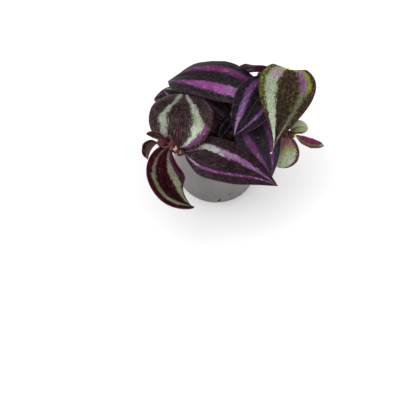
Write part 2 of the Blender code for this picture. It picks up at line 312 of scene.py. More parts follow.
def specks(name, places, material):
    """Flat crumbs pressed on the pot's wall."""
    shape = bmesh.new()
    for degrees, height, size in places:
        made = bmesh.ops.create_icosphere(shape, subdivisions=2, radius=size * MM)
        for vert in made["verts"]:
            vert.co *= 1 + 0.35 * noise.noise(vert.co / (0.5 * MM) + Vector((degrees, height, 0)))
        radius = WALL_FOOT + WALL_TAPER * height
        out = Matrix.Translation((radius * MM, 0, height * MM)) @ Matrix.Diagonal((0.5, 1, 1, 1))
        turn = Matrix.Rotation(math.radians(degrees), 4, "Z")
        bmesh.ops.transform(shape, matrix=turn @ out, verts=made["verts"])
    return piece(name, shape, [material], smooth=False)


tree, shader, grit = new_finish("pale_grit", Base_Color=linear("#c9c1b4"), Roughness=0.8)
tree, shader, soil = new_finish("dry_soil", Base_Color=linear("#3a2317"), Roughness=0.95)
specks("pot_soil_specks", SOIL_SPECKS, soil)
specks("pot_grit_specks", PALE_SPECKS, grit)
print("specks:", len(SOIL_SPECKS) + len(PALE_SPECKS))

# %% [markdown]
# ## Potting mix
#
# Potting mix is peat and bark crumbs, dark when damp, with a few white grains of perlite. Its crumbs are
# made near black, which is partly painted shade for the hollow under the leaves. It is turned like the pot,
# with many rings across its top, so that noise can push them up and down. Loose crumbs lie on it: small
# icospheres squeezed by chance, all in one mesh. Chance comes from a seeded generator.

# %% Peat finish
# In millimetres: crumbs of different tone, and the fuzz of fibres on them
CRUMB, FUZZ = 1.1, 0.4
tree, shader, damp_peat = new_finish("damp_peat", Roughness=0.95)
place = in_millimetres(tree)
clods = add(tree, "TexVoronoi", {"Vector": place, "Scale": 1 / CRUMB, "Randomness": 1.0}, out="Color")
crumb_tone = add(tree, "SeparateColor", {0: clods})
# Near black: partly the colour of damp peat, partly painted shade under the leaves. The palest stop is
# perlite
peat_and_shade_colours = [(0.0, "#0b0705"), (0.55, "#1a120c"), (0.9, "#33241a"), (0.97, "#80766a")]
colour = add(tree, "ValToRGB", {"Fac": crumb_tone}, stops=peat_and_shade_colours)
fuzz = add(tree, "TexNoise", {"Vector": place, "Scale": 1 / FUZZ, "Detail": 4})
bump = add(tree, "Bump", {"Height": fuzz, "Strength": 0.8, "Distance": 3 * FINE_RELIEF})
connect(tree, shader, Base_Color=colour, Normal=bump)
print("finish:", damp_peat.name)

# %% Mix with an uneven top
MIX_TOP, MIX_RADIUS, MIX_RINGS = 43.0, 25.6, 40
# How high the slow lumps and the crumbs on them stand, in millimetres
MIX_LUMP, MIX_CRUMB = 0.5, 0.55
outline = [(0, 1.9), (21.0, 1.9), (25.4, 40.4), (MIX_RADIUS, 42.6)]
outline += [(MIX_RADIUS * (1 - step / MIX_RINGS), MIX_TOP) for step in range(1, MIX_RINGS + 1)]
mix_shape = turned(outline, 160)


def mix_height(x, y):
    """The mix's uneven top: lumps as the CAD solid has them, and crumbs on top of those."""
    lumps = math.sin(0.45 * x + 1) * math.cos(0.38 * y) + 0.6 * math.sin(0.9 * x - 0.7 * y)
    crumbs = noise.fractal(Vector((x, y, 0)) * 0.7, 0.6, 2.0, 5)
    return MIX_TOP + MIX_LUMP * lumps + MIX_CRUMB * crumbs


for vert in mix_shape.verts:
    if vert.co.z > (MIX_TOP - 0.1) * MM:
        vert.co.z = mix_height(vert.co.x / MM, vert.co.y / MM) * MM
mix = piece("peat_mix", mix_shape, [damp_peat], "potting_mix")
print("mix faces:", len(mix.data.polygons))

# %% Loose crumbs
CRUMBS, CRUMB_CIRCLE = 420, 25
chance = random.Random(7)
crumb_shape = bmesh.new()
for number in range(CRUMBS):
    angle, reach = chance.uniform(0, math.tau), CRUMB_CIRCLE * math.sqrt(chance.random())
    x, y = reach * math.cos(angle), reach * math.sin(angle)
    size = chance.uniform(0.25, 0.95)
    made = bmesh.ops.create_icosphere(crumb_shape, subdivisions=1, radius=size * MM)
    long, wide, high = chance.uniform(0.6, 1.5), chance.uniform(0.6, 1.2), chance.uniform(0.4, 0.8)
    stretch = Matrix.Diagonal((long, wide, high, 1))
    tilt = Matrix.Rotation(chance.uniform(0, math.tau), 4, Vector((chance.random(), chance.random(), 1)))
    spot = Matrix.Translation(Vector((x, y, mix_height(x, y) + 0.25 * size)) * MM)
    bmesh.ops.transform(crumb_shape, matrix=spot @ tilt @ stretch, verts=made["verts"])
crumbs = piece("mix_crumbs", crumb_shape, [damp_peat], smooth=False)
print("crumbs:", CRUMBS, "in", len(crumbs.data.polygons), "faces")

# %% [markdown]
# ## Shoots
#
# A stem of this plant is round, fleshy and a little swollen where each leaf grows. Its way up is a smooth
# curve through the points where leaves grow. A curve object with a round bevel is the simplest tube: each
# point of it has its own radius, which makes the swellings.

# %% Where the shoots go
# Each shoot's points, in millimetres. The first is just over the mix, and a leaf grows at most of the others
STEMS = {
    "stem_front_left": [
        (-7, -9, 46), (-11, -17, 52), (-16, -24, 55), (-19, -27.6, 57.2), (-21.8, -29, 60.4),
        (-24, -29.6, 65.9), (-27.8, -29, 67.2), (-31, -28.2, 65.9),
    ],
    "stem_crown": [(6, 2, 46), (10, -1, 53), (15, -2, 57.5), (20, 1, 59), (26, 4, 62), (30, 5, 64)],
    "stem_tall": [(14, 8, 46), (20.5, 13.5, 57), (27, 12.5, 70), (33, 9.5, 77.5), (36.6, 7.2, 82)],
    "stem_right": [
        (16, -6, 46), (22, -10, 53), (30, -14, 56.5), (35.4, -15.7, 57.3), (38.5, -16.2, 58),
        (40.6, -17, 57.8),
    ],
    "stem_middle": [(6, -9, 44), (8, -9, 49), (9, -7, 52), (9, -4.5, 56), (8, -3, 59)],
    "stem_back_left": [
        (-8, 10, 46), (-9, 14, 51), (-10, 20.8, 53.3), (-11, 26.5, 53.8), (-11.5, 31.5, 51),
        (-12, 34, 46),
    ],
    "stem_back_right": [(8, 14, 46), (12, 18, 51), (18, 21, 53.5), (26, 22, 53), (30.5, 23, 48)],
    "stem_left": [(-15, 2, 46), (-16, 2, 51), (-16, 3, 54)],
}
STEM_FINISHES = {
    "stem_right": "waxy_yellow_green_stem", "stem_tall": "waxy_tall_green_stem",
    "stem_front_left": "waxy_flushed_stem",
}
# A stem starts inside the mix, at this height
STEM_RADIUS, STEM_FOOT = 1.3, 34.0
# Steps from one point to the next
STEM_STEPS = 8


def smooth_way(points, steps):
    """Closely spaced points: straight from the first to the second, then a curve through all the rest."""
    knots = [Vector(point) for point in points]
    knots.append(2 * knots[-1] - knots[-2])
    way = [knots[0]]
    for before, here, after, beyond in zip(knots, knots[1:], knots[2:], knots[3:]):
        for step in range(steps):
            u = step / steps
            bend = 2 * before - 5 * here + 4 * after - beyond
            turn = 3 * here - before - 3 * after + beyond
            way.append((2 * here + (after - before) * u + bend * u * u + turn * u**3) / 2)
    return way + [knots[-2]]


print(len(STEMS), "shoots with", sum(len(points) for points in STEMS.values()), "points")


# %% Stem finishes
STEM_CRIMSON, STEM_CREAM, STEM_OLIVE = "#4a141d", "#e2cfae", "#70613a"
STEM_DULL_GREEN, STEM_YELLOW_GREEN = "#666d34", "#d2d856"
# The size of the streaks, and of the larger patches that they show in, in millimetres
STEM_STREAK, STEM_BLUSH = 0.9, 6


def stem_finish(name, by_height, deep):
    """Fleshy stem: a waxy skin whose colour changes with height, with darker streaks."""
    tree, shader, material = new_finish(
        name, IOR=1.42, Roughness=0.4, Specular_IOR_Level=0.35, Subsurface_Weight=0.15,
        Subsurface_Radius=(0.002, 0.001, 0.0006),
    )
    place = in_millimetres(tree)
    height = add(tree, "MapRange", {"Value": add(tree, "SeparateXYZ", {0: place}, out=2), "From Max": 100})
    pale = add(tree, "ValToRGB", {"Fac": height}, stops=by_height)
    streak = add(tree, "TexNoise", {"Vector": place, "Scale": 1 / STEM_STREAK, "Detail": 3})
    blush = add(tree, "TexNoise", {"Vector": place, "Scale": 1 / STEM_BLUSH, "Detail": 2})
    both = add(tree, "Math", {0: streak, 1: blush}, operation="MULTIPLY")
    share = add(tree, "MapRange", {"Value": both, "From Min": 0.2, "From Max": 0.45, "To Max": 0.7})
    colour = add(tree, "Mix", {0: share, 6: pale, 7: linear(deep)}, out=2, data_type="RGBA")
    bump = add(tree, "Bump", {"Height": streak, "Strength": 0.25, "Distance": FINE_RELIEF})
    connect(tree, shader, Base_Color=colour, Normal=bump)
    return material


# Each name: colours by the height in tenths of a metre, and the streaks' colour. Two shoots are olive below
# and yellow-green where their young leaves grow. The one that hangs over the edge is olive, then cream for a
# few millimetres, then crimson.
STEM_COLOURS = {
    "waxy_olive_stem": ([(0, STEM_OLIVE), (1, STEM_OLIVE)], "#4c2a26"),
    "waxy_yellow_green_stem": ([(0.54, STEM_DULL_GREEN), (0.565, STEM_YELLOW_GREEN)], "#9c9a44"),
    "waxy_tall_green_stem": ([(0.7, STEM_DULL_GREEN), (0.8, STEM_YELLOW_GREEN)], "#77793c"),
    "waxy_flushed_stem": (
        [(0.57, STEM_OLIVE), (0.6, STEM_CREAM), (0.645, STEM_CREAM), (0.66, STEM_CRIMSON)], "#6d2a2c",
    ),
}
stem_skins = {name: stem_finish(name, *colours) for name, colours in STEM_COLOURS.items()}
print("stem finishes:", ", ".join(stem_skins))

# %% Grow the shoots
# Share of the usual radius between two leaves, and what is added where a leaf grows
STEM_SLIM, STEM_SWELL = 0.92, 0.13
# A shoot's end narrows to a bud, where its last leaf begins: distance past the last point, and radius
BUD = [(0.5, 0.8), (0.9, 0.5), (1.2, 0.2)]
for stem_name, points in STEMS.items():
    shoot_name = stem_name.replace("stem_", "shoot_")
    x, y, _ = points[0]
    way = smooth_way([(x, y, STEM_FOOT)] + points, STEM_STEPS)
    ahead = (way[-1] - way[-2]).normalized()
    curve = bpy.data.curves.new(shoot_name, "CURVE")
    curve.dimensions = "3D"
    curve.bevel_depth = STEM_RADIUS * MM
    curve.bevel_resolution = 6
    curve.use_fill_caps = True
    spline = curve.splines.new("POLY")
    spline.points.add(len(way) + len(BUD) - 1)
    for number, (point, here) in enumerate(zip(spline.points, way)):
        point.co = (*(here * MM), 1)
        step = (number - 1) % STEM_STEPS
        steps_from_leaf = min(step, STEM_STEPS - step)
        point.radius = STEM_SLIM + STEM_SWELL * max(0, 1 - steps_from_leaf / 2)
    for point, (reach, radius) in zip(spline.points[len(way):], BUD):
        point.co = (*((way[-1] + ahead * reach) * MM), 1)
        point.radius = radius
    shoot = bpy.data.objects.new(shoot_name, curve)
    curve.materials.append(stem_skins[STEM_FINISHES.get(stem_name, "waxy_olive_stem")])
    bpy.context.scene.collection.objects.link(shoot)
    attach(shoot, "root")
    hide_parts(stem_name)
print("shoots:", len(STEMS))

# %% [markdown]
# ## The form of a leaf
#
# A leaf is one thin blade. Its midrib runs out from the stem, turning and drooping as it goes. Across it the
# two halves rise from the midrib and bend over towards the margins, which sweep back in rounded lobes at the
# base. The same few numbers shaped the CAD solids, so this table is theirs. Heading is a compass direction,
# 0 along +X and 90 along +Y, and pitch is the slope, each at the base and at the tip.

# %% Leaves and their numbers
# Each row begins with the leaf, its stem, and which of the stem's points it grows from. Lengths are in
# millimetres and angles in degrees. After the roll come the fold at the midrib, the bend out to the margin,
# the lobe as a share of the length, the ripple in millimetres, and how far along the blade is widest.
Leaf = namedtuple("Leaf", "stem point length width heading pitch roll fold curl lobe wave widest")
LEAF_ROWS = {
    "crown": ("crown", 4, 63, 29, (169, 150), (35, -54), (0, -4), 8, -28, 0.04, 0.4, 0.48),
    "dome": ("front_left", 4, 46, 36, (89, 80), (68, -74), (16, -4), 8, -42, 0.08, 0.4, 0.4),
    "pointed": ("tall", 2, 37.5, 24, (-107, -137), (10, -44), (4, 6), 22, -26, 0.04, 0.4, 0.39),
    "heart": ("tall", 4, 44, 30, (-98, -111), (-4, -62), (8, -4), 17, -28, 0.1, 0.6, 0.26),
    "front": ("front_left", 3, 53, 25, (-10, -20), (7, -34), (-12, -12), 12, -42, 0.03, 0.5, 0.35),
    "hanging": ("front_left", 5, 42, 21.5, (-140, 28), (-50, -46), (2, 20), 25, -10, 0.02, 0.5, 0.5),
    "young_left": ("front_left", 6, 10, 6, (164, 160), (24, -8), (20, 20), 50, 10, 0, 0.2, 0.42),
    "tip_left": ("front_left", 7, 11, 10, (-160, -120), (-30, -75), (-10, -10), 50, 10, 0, 0.2, 0.42),
    "under_crown": ("middle", 2, 48, 22, (159, 130), (28, -28), (10, 10), 12, -30, 0.04, 0.4, 0.42),
    "rim_left": ("back_left", 1, 26, 17, (178, 172), (24, -38), (0, 0), 12, -30, 0.04, 0.4, 0.42),
    "on_edge": ("tall", 3, 32, 12, (144, 140), (-22, -52), (-42, -60), 10, -20, 0.02, 0.4, 0.5),
    "below_pointed": ("crown", 2, 37.5, 25, (-62, -75), (4, -38), (-20, -20), 25, -20, 0.04, 0.4, 0.34),
    "short_right": ("right", 3, 18, 19, (-98, -108), (-25, -85), (0, 0), 10, -30, 0.1, 0.5, 0.5),
    "round_right": ("right", 4, 10, 9, (20, -10), (48, -40), (0, 0), 10, -30, 0.05, 0.2, 0.5),
    "boat_right": ("right", 5, 18, 9, (-30, -8), (-60, 42), (0, 0), 52, -10, 0, 0.2, 0.55),
    "inner": ("middle", 3, 13, 9, (-135, -112), (8, -45), (0, 0), 20, -30, 0.04, 0.3, 0.42),
    "back_inner": ("back_left", 2, 25, 18, (25, 35), (14, -36), (0, 0), 12, -30, 0.02, 0.4, 0.42),
    "back_left": ("back_left", 3, 22, 15, (154, 132), (-4, -84), (0, 0), 15, -30, 0.02, 0.4, 0.42),
    "tip_back_left": ("back_left", 5, 18, 9, (100, 95), (-55, -80), (0, 0), 45, -10, 0, 0.2, 0.42),
    "under_heart": ("crown", 5, 20, 11, (5, -25), (10, -55), (0, 0), 12, -30, 0.04, 0.3, 0.42),
    "behind_heart": ("back_right", 2, 30, 12, (10, -12), (22, -50), (0, 0), 12, -30, 0.02, 0.4, 0.42),
    "back_right": ("back_right", 3, 23, 14, (64, 24), (-10, -84), (0, 0), 15, -30, 0.04, 0.4, 0.42),
    "tip_back_right": ("back_right", 4, 17, 9, (-15, -25), (-40, -75), (0, 0), 45, -10, 0, 0.2, 0.42),
    "below_dome": ("left", 1, 24, 16, (212, 200), (28, -58), (0, 0), 12, -30, 0.04, 0.4, 0.42),
    "below_heart": ("right", 1, 19, 15, (5, -10), (5, -45), (0, 0), 12, -30, 0.04, 0.4, 0.42),
}
LEAVES = {
    "leaf_" + name: Leaf("stem_" + stem, *numbers) for name, (stem, *numbers) in LEAF_ROWS.items()
}
# Millimetres: the sheath's inner radius, how deep in its wall a side leaf begins, how far past its stem's
# end the last leaf does, and half the width of the stalk and of the tip
SHEATH_INNER, BLADE_ROOT, TIP_GAP = 1.6, 0.3, 0.8
PETIOLE_HALF_WIDTH, TIP_HALF_WIDTH = 1.2, 0.3
# The lower this power, the rounder the base. Lobes open over this share of the length
BASE_POWER, LOBE_OPENS = 0.55, 0.05
# How many waves the margin makes from base to tip
RIPPLES = 2.5
# Two blades narrow more than the rest, to the stalk or to the tip: the share of the length where they do
NARROW_BASES = {("stem_front_left", 3): 0.22}
NARROW_TIPS = {("stem_crown", 4): 0.24}
NARROW_POWER = 0.5
print(len(LEAVES), "leaves, the longest", max(leaf.length for leaf in LEAVES.values()), "mm")


# %% Where each point of a blade goes
def stem_direction(leaf):
    """Which way the stem runs where the leaf grows."""
    points = STEMS[leaf.stem]
    after = Vector(points[min(leaf.point + 1, len(points) - 1)])
    return (after - Vector(points[leaf.point - 1])).normalized()


def blade_frame(leaf, t):
    """Along, across and up from the blade's upper face, at a share t of its length."""
    heading, pitch, roll = (
        math.radians(first + (last - first) * t) for first, last in (leaf.heading, leaf.pitch, leaf.roll)
    )
    level = math.cos(pitch)
    along = Vector((level * math.cos(heading), level * math.sin(heading), math.sin(pitch)))
    flat = Vector((math.sin(heading), -math.cos(heading), 0))
    normal = flat.cross(along)
    across = flat * math.cos(roll) + normal * math.sin(roll)
    return along, across, across.cross(along)


def half_width(leaf, t):
    """Half the blade's width: an egg shape that is drawn out to the tip."""
    tip_power = BASE_POWER * (1 - leaf.widest) / leaf.widest
    most = leaf.widest**BASE_POWER * (1 - leaf.widest) ** tip_power
    share = t**BASE_POWER * (1 - t) ** tip_power / most
    grower = (leaf.stem, leaf.point)
    if t < NARROW_BASES.get(grower, 0):
        share *= math.sin(math.pi / 2 * t / NARROW_BASES[grower]) ** NARROW_POWER
    if 1 - t < NARROW_TIPS.get(grower, 0):
        share *= math.sin(math.pi / 2 * max(0, 1 - t) / NARROW_TIPS[grower]) ** NARROW_POWER
    return max(leaf.width / 2 * share, PETIOLE_HALF_WIDTH * (1 - t), TIP_HALF_WIDTH)


def blade_start(leaf):
    """Where the midrib leaves the stem: in the sheath's wall, or just past the end of the stem."""
    points = STEMS[leaf.stem]
    node, axis = Vector(points[leaf.point]), stem_direction(leaf)
    if leaf.point == len(points) - 1:
        return node + axis * TIP_GAP
    along = blade_frame(leaf, 0)[0]
    outward = (along - axis * along.dot(axis)).normalized()
    return node + outward * (SHEATH_INNER + BLADE_ROOT)


def midrib(leaf, rows):
    """The midrib's points, one more than there are rows."""
    place, way = blade_start(leaf), []
    for row in range(rows):
        way.append(place)
        place = place + blade_frame(leaf, (row + 0.5) / rows)[0] * (leaf.length / rows)
    return way + [place]


def blade_point(leaf, middle, t, s, relief=0.0):
    """A point of the blade at a share t of its length and s of its half-width, from -1 to 1."""
    along, across, normal = blade_frame(leaf, t)
    fold, curl, u = math.radians(leaf.fold), math.radians(leaf.curl), abs(s)
    reach = half_width(leaf, t) / curl
    sideways = math.copysign((math.sin(fold + curl * u) - math.sin(fold)) * reach, s)
    rise = (math.cos(fold) - math.cos(fold + curl * u)) * reach
    back = leaf.lobe * leaf.length * u**2 * (1 - t) ** 3 * min(1, t / LOBE_OPENS)
    phase = math.tau * (RIPPLES * t + math.copysign(0.25, s))
    ripple = leaf.wave * math.sin(phase) * u**3 * math.sin(math.pi * t)
    return middle + across * sideways + normal * (rise + ripple + relief) - along * back


crown = LEAVES["leaf_crown"]
print("leaf_crown is", round(2 * half_width(crown, crown.widest), 1), "mm wide where it is widest")


# %% [markdown]
# ## Leaf finishes
#
# A zebra leaf is a waxy green and purple skin over air pockets. Where the pockets lie, in two bands, it
# glistens silver or purple; between them it is near black, and the underside is crimson. The bands follow
# the leaf, so the finish reads the leaf's own map: "share" runs from 0 to 1 across and along the blade, and
# "millimetres" holds true sizes, which keeps cells and streaks the same size on every leaf.
#
# The skin is made of cells, and each one is either dark, green or silver. A band therefore has no clean
# edge: it breaks up into single cells. Real cells are about 0.1 mm, too fine to show here, so they are
# drawn 0.5 mm wide. Each leaf has its own look, because leaves on one plant differ a lot, and the leaves
# deep in the hollow have looks darkened as painted shade.

# %% What a look says
# Left and right are as seen from the stem, looking along the leaf from above. Each band is a list from base
# to tip: how far along the leaf, where it is centred and half its width as shares of the half-width, and its
# colour. The other values, with what most leaves have:
USUAL = {
    # Cells between the bands, and how many of them are green
    "green": "#2c361c", "greenness": 0.0,
    # A strip outside the right band (side 1) or the left one (-1), as far as a share of the length
    "fringe": "#743a72", "fringe_side": 0, "fringe_wide": 0.0, "fringe_end": 0.4,
    # A soft margin on the right half, as far as a share of the length
    "tint": "#55621f", "tint_end": 0.0,
    # How strongly a painted highlight whitens some streaks on the bands
    "glint": 0.3,
    # The line along the midrib, and the margin's colour
    "crease": "#2c1420", "crease_strength": 0.4, "crease_end": 1.0, "edge": "#3c1a2b",
    # Brown streaks from the base as far as a share of the length, and how strong they are at the margin
    "blush": "#4a3a42", "blush_end": 0.3, "blush_margin": 0.0,
}
Look = namedtuple("Look", ["dark", "patch", "left", "right", *USUAL], defaults=USUAL.values())
SILVER, PALE_SILVER = "#8d9a80", "#b2bda8"
PURPLE, DEEP_PURPLE, SHADE_DIMMED_PURPLE = "#752d70", "#5a1f56", "#1e1323"
PLAIN = Look(
    "#141013", "#211b1f",
    [(0.0, 0.5, 0.14, DEEP_PURPLE), (0.4, 0.48, 0.16, PURPLE), (1.0, 0.42, 0.1, PURPLE)],
    [(0.0, 0.5, 0.14, DEEP_PURPLE), (0.4, 0.5, 0.15, PURPLE), (1.0, 0.42, 0.1, PURPLE)],
)
# Bands dimmed to near black as painted shade, for leaves deep in the hollow
PAINTED_SHADE_BAND = [(0.0, 0.5, 0.14, SHADE_DIMMED_PURPLE), (1.0, 0.42, 0.1, "#331d36")]
BOAT_BAND = [
    (0.0, 0.15, 0.2, "#b5b546"), (0.25, 0.16, 0.18, "#7c8440"), (0.85, 0.18, 0.18, "#74804c"),
    (1.0, 0.3, 0.4, "#b6bda4"),
]


def young_band(turns_green):
    """A young leaf's band: pink at the base, green from a share of the length, and silver at the tip."""
    return [
        (0.0, 0.5, 0.2, "#7b3c58"), (turns_green, 0.48, 0.3, "#7f8a58"), (0.7, 0.45, 0.3, "#9aa683"),
        (1.0, 0.4, 0.2, SILVER),
    ]


def bud_band(base):
    """A bud's band, whose base has its own colour."""
    return [(0.0, 0.4, 0.2, base), (0.5, 0.4, 0.2, "#454a28"), (1.0, 0.4, 0.1, "#3a2019")]


YOUNG = Look(
    "#33171f", "#55283a", young_band(0.35), young_band(0.3), green="#66732f", greenness=0.8,
    crease="#a7a860", edge="#6b2340",
)
print("a look has", len(Look._fields), "values, most of them shared")

# %% Looks of the large leaves
LOOKS = {
    "plain": PLAIN,
    "crown": PLAIN._replace(
        left=[
            (0.0, 0.5, 0.24, "#83729a"), (0.22, 0.5, 0.24, "#946d9e"), (0.36, 0.48, 0.22, "#8c4588"),
            (0.6, 0.45, 0.16, "#7d3878"), (0.8, 0.42, 0.12, DEEP_PURPLE), (1.0, 0.4, 0.08, DEEP_PURPLE),
        ],
        right=[
            (0.0, 0.5, 0.16, DEEP_PURPLE), (0.5, 0.45, 0.17, "#641f5a"), (0.8, 0.42, 0.12, DEEP_PURPLE),
            (1.0, 0.4, 0.08, DEEP_PURPLE),
        ],
        glint=0.4, blush="#4a4549", blush_end=0.5, blush_margin=0.5,
    ),
    "dome": Look(
        "#1d1013", "#2d1c20",
        [
            (0.0, 0.5, 0.1, "#6d5a62"), (0.12, 0.56, 0.11, "#857f80"), (0.24, 0.5, 0.12, "#a0a59a"),
            (0.38, 0.5, 0.12, "#87927c"), (0.46, 0.37, 0.08, "#858c80"), (0.56, 0.18, 0.07, "#77786f"),
            (0.75, 0.12, 0.08, "#8a8c86"), (1.0, 0.1, 0.06, "#8f9389"),
        ],
        [
            (0.0, 0.36, 0.08, "#9b9496"), (0.06, 0.44, 0.08, "#b4beab"), (0.16, 0.54, 0.13, "#b2bda6"),
            (0.26, 0.57, 0.16, "#9da98f"), (0.36, 0.53, 0.13, "#8c997d"), (0.51, 0.37, 0.09, "#8f9088"),
            (0.65, 0.2, 0.07, "#958d96"), (1.0, 0.12, 0.05, "#8f8a90"),
        ],
        green="#39442a", greenness=0.9, fringe="#6f3a6c", fringe_side=1, fringe_wide=0.16, fringe_end=0.35,
        crease="#4a0c1e", crease_strength=0.85, crease_end=0.3, edge="#421825", glint=0.7,
        blush="#604a50", blush_end=0.5, blush_margin=0.65,
    ),
    "heart": Look(
        "#1d130c", "#2e2118",
        [
            (0.0, 0.5, 0.16, "#8e9a3c"), (0.06, 0.56, 0.15, "#70416b"), (0.24, 0.58, 0.13, "#7a5072"),
            (0.34, 0.56, 0.11, "#535d40"), (0.7, 0.5, 0.11, "#5c5b4e"), (1.0, 0.4, 0.16, "#8a937e"),
        ],
        [
            (0.0, 0.5, 0.2, "#8e9a3c"), (0.08, 0.55, 0.24, "#93718c"), (0.2, 0.57, 0.21, SILVER),
            (0.5, 0.54, 0.2, "#9aa88d"), (0.8, 0.5, 0.2, PALE_SILVER), (1.0, 0.4, 0.2, PALE_SILVER),
        ],
        green="#4e5a22", greenness=0.95, tint="#64731f", tint_end=0.6, glint=0.35,
        fringe="#6f7c2c", fringe_side=-1, fringe_wide=0.12, fringe_end=0.34,
        crease="#1a110d", crease_strength=0.4, edge="#4a2426", blush="#47302b", blush_end=0.9,
        blush_margin=0.9,
    ),
    "pointed": PLAIN._replace(
        dark="#151015", patch="#221c23",
        left=[(0.0, 0.5, 0.08, DEEP_PURPLE), (0.5, 0.52, 0.09, "#64346a"), (1.0, 0.42, 0.08, "#75507a")],
        right=[
            (0.0, 0.5, 0.15, DEEP_PURPLE), (0.35, 0.5, 0.15, "#683a70"), (0.7, 0.42, 0.16, "#775080"),
            (1.0, 0.4, 0.14, "#9a7e9c"),
        ],
        # The pale grey midrib line is a painted highlight along the fold
        glint=0.55, crease="#4b474f", edge="#4a3340",
    ),
    "front": Look(
        "#1b1114", "#2c2024",
        [
            (0.0, 0.3, 0.08, "#6d3f68"), (0.1, 0.34, 0.11, "#8d6f8c"), (0.18, 0.42, 0.13, "#b4beb1"),
            (0.3, 0.29, 0.13, "#a4a9a2"), (0.38, 0.26, 0.14, "#8f6d8e"), (0.54, 0.22, 0.14, "#845286"),
            (0.8, 0.15, 0.13, "#6f3f72"), (1.0, 0.13, 0.1, "#6b386a"),
        ],
        [
            (0.0, 0.66, 0.05, "#7a5878"), (0.1, 0.64, 0.06, "#a68aa6"), (0.2, 0.62, 0.055, "#7a3a78"),
            (0.42, 0.62, 0.06, "#6c2a68"), (0.7, 0.47, 0.08, "#6c2a68"), (1.0, 0.3, 0.1, "#6c2a68"),
        ],
        green="#30351f", greenness=0.15, fringe="#6b456d", fringe_side=-1, fringe_wide=0.08, fringe_end=0.4,
        glint=0.8, edge="#4f2a40", blush="#4b3b40", blush_end=0.45,
    ),
    "hanging": Look(
        "#1b0206", "#2b060d",
        [
            (0.0, 0.3, 0.12, "#6a6648"), (0.3, 0.42, 0.17, "#7b8064"), (0.6, 0.5, 0.17, "#818a66"),
            (1.0, 0.4, 0.16, "#878d6e"),
        ],
        [
            (0.0, 0.4, 0.08, "#4b3b30"), (0.3, 0.6, 0.11, "#5f5d50"), (0.45, 0.6, 0.12, "#5d6238"),
            (0.6, 0.6, 0.12, "#6f7758"), (1.0, 0.4, 0.14, "#7c8464"),
        ],
        green="#39401a", greenness=0.1, fringe="#40203a", fringe_side=-1, fringe_wide=0.2, fringe_end=0.5,
        crease="#0d0306", crease_strength=0.9, edge="#5a1426", glint=0.4, blush="#4c1a1c", blush_end=0.35,
        blush_margin=0.2,
    ),
}
print("large leaves' looks:", ", ".join(LOOKS))

# %% Looks of the leaves under and beside them
LOOKS |= {
    "bud": Look(
        "#220a10", "#361119", bud_band("#4a3a26"), bud_band("#3c2a1e"), crease="#1a0609",
        crease_strength=0.8, edge="#8e4259",
    ),
    # The dull dark purples at the bands' base and along the left band are partly painted shade under the
    # crown leaf; the pale stripe in the right band is its own colour
    "under": PLAIN._replace(
        dark="#151215", patch="#221d21",
        left=[(0.0, 0.5, 0.14, "#2b1c2c"), (0.55, 0.48, 0.15, "#452548"), (1.0, 0.4, 0.1, "#6c4d6c")],
        right=[
            (0.0, 0.4, 0.12, "#2b1c2c"), (0.35, 0.4, 0.13, "#4d3650"), (0.53, 0.48, 0.12, "#7d7482"),
            (0.66, 0.7, 0.12, "#9a97a0"), (0.8, 0.6, 0.2, "#a7b29b"), (1.0, 0.4, 0.3, "#6b3f6c"),
        ],
        green="#2e3820", greenness=0.4, glint=0.5,
    ),
    # Near-black look for leaves deep in the hollow under the large leaves: painted shade
    "painted_shade": PLAIN._replace(dark="#090709", patch="#120f12", left=PAINTED_SHADE_BAND, right=PAINTED_SHADE_BAND),
    "below": PLAIN._replace(
        dark="#231e24", patch="#302b31",
        left=[(0.0, 0.5, 0.12, DEEP_PURPLE), (0.5, 0.5, 0.12, "#602a60"), (1.0, 0.42, 0.14, "#5c3260")],
        right=[(0.0, 0.5, 0.16, DEEP_PURPLE), (0.5, 0.5, 0.17, "#60305f"), (1.0, 0.42, 0.16, "#6a3f6c")],
        glint=0.35,
    ),
    "short": YOUNG._replace(
        dark="#3f2029", patch="#5a333e",
        left=[
            (0.0, 0.4, 0.35, "#7d5857"), (0.22, 0.42, 0.36, "#865f64"), (0.3, 0.44, 0.38, "#8c9048"),
            (0.4, 0.42, 0.4, "#929e7b"), (0.7, 0.4, 0.38, "#a3ad8e"), (1.0, 0.3, 0.3, SILVER),
        ],
        right=[
            (0.0, 0.36, 0.32, "#7a5254"), (0.25, 0.36, 0.32, "#7a5058"), (0.4, 0.36, 0.3, "#83805a"),
            (0.55, 0.34, 0.32, "#8f9a78"), (1.0, 0.3, 0.3, SILVER),
        ],
        greenness=0.35, edge="#5c3440",
    ),
    "round": YOUNG._replace(
        left=[(0.0, 0.4, 0.3, "#8a7f62"), (0.3, 0.4, 0.42, "#9dac7e"), (1.0, 0.4, 0.45, "#adb994")],
        right=[(0.0, 0.4, 0.3, "#6a2f45"), (0.3, 0.45, 0.36, "#869562"), (1.0, 0.4, 0.4, "#9aa77c")],
        crease="#7d8c52",
    ),
    "boat": YOUNG._replace(
        dark="#62253f", patch="#833a5e", left=BOAT_BAND, right=BOAT_BAND, greenness=0.1, edge="#8c3c64",
    ),
}
print("all looks:", len(LOOKS))

# %% [markdown]
# ## From a look to a material
#
# The colours are laid over each other as a painter would glaze them: the dark ground and its green cells,
# brown streaks, a tinted margin, a fringe, the bands and last the fine lines. Each layer is a Mix node, and
# how much of it shows comes from where the point lies on the leaf, made ragged by noise. A painted picture
# could do the same, but layers fit a leaf of any size, and no two leaves come out alike.

# %% The patterns that every layer reads
# In millimetres, across and along the leaf
CELL = 0.5
STREAK = (0.4, 5.6)
BLOTCH = (1.8, 2.6)
PATCH = 4.5
Skin = namedtuple("Skin", "t s u is_right streak patch blotch dice domes")


def stretched(tree, place, size):
    """A place in millimetres counted in pattern sizes, across and along the leaf."""
    return add(tree, "VectorMath", {0: place, 1: (1 / size[0], 1 / size[1], 1)}, operation="MULTIPLY")


